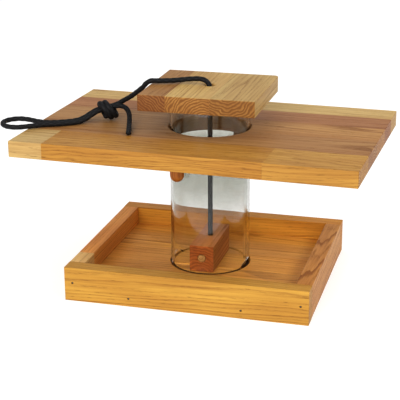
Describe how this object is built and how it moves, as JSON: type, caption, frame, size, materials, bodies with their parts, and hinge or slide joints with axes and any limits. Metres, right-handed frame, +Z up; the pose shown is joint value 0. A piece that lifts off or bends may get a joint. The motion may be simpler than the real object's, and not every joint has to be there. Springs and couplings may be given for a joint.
{
  "type": "hanging bird feeder",
  "caption": "Oak bird feeder: clear seed tube standing in a tray, wide flat roof on the tube, square lid, and a black cord with a carrying loop",
  "frame": {"origin": "on the seed tube's axis, at the underside of the tray", "axes": "+X along the long side of the tray and roof, -Y towards the front, +Z up along the tube"},
  "size_m": [0.3746, 0.2284, 0.2075],
  "materials": {
    "oak": "oiled oak, golden brown, satin",
    "oak_pale": "oiled oak sapwood, pale straw, satin",
    "oak_dark": "oiled oak heartwood, reddish brown, satin",
    "clear_glass": "clear, polished",
    "cord_black": "black braided cord, matt",
    "steel_zinc": "zinc-plated steel"
  },
  "bodies": {
    "tray": {"tray_front_rail": "oak", "tray_back_rail": "oak", "tray_left_rail": "oak", "tray_right_rail": "oak", "tray_floor_1": "oak", "tray_floor_2": "oak", "tray_floor_3": "oak", "tray_floor_4": "oak", "tray_floor_5": "oak", "tray_left_rail_block": "oak_pale", "bar_dowel": "oak_pale", "anchor_bar": "oak_dark", "bar_screw_front": "steel_zinc", "bar_screw_back": "steel_zinc", "brad_front_left": "steel_zinc", "brad_front_right": "steel_zinc", "brad_front_floor_left": "steel_zinc", "brad_front_floor_right": "steel_zinc", "brad_back_left": "steel_zinc", "brad_back_right": "steel_zinc", "brad_back_floor_left": "steel_zinc", "brad_back_floor_right": "steel_zinc", "cord_riser": "cord_black", "cord_stop_knot": "cord_black"},
    "tube": {"glass_tube": "clear_glass"},
    "roof": {"roof_front": "oak", "roof_front_right": "oak", "roof_middle_left": "oak", "roof_middle_right": "oak", "roof_row_2": "oak", "roof_peg_front": "oak", "roof_peg_back": "oak", "roof_front_left": "oak_pale", "roof_row_5": "oak_pale", "roof_row_4": "oak_dark"},
    "lid": {"lid_left": "oak_dark", "lid_middle": "oak", "lid_right": "oak", "cord_free": "cord_black", "cord_loop_knot": "cord_black"}
  },
  "joints": [
    {"name": "tube_lift", "type": "slide", "parent": "tray", "child": "tube", "axis": [0, 0, 1], "range_m": [0, 0.06]},
    {"name": "roof_turn", "type": "hinge", "parent": "tube", "child": "roof", "pos_m": [0, 0, 0.1507], "axis": [0, 0, 1], "continuous": true},
    {"name": "lid_lift", "type": "slide", "parent": "tube", "child": "lid", "axis": [0, 0, 1], "range_m": [0, 0.08]}
  ]
}
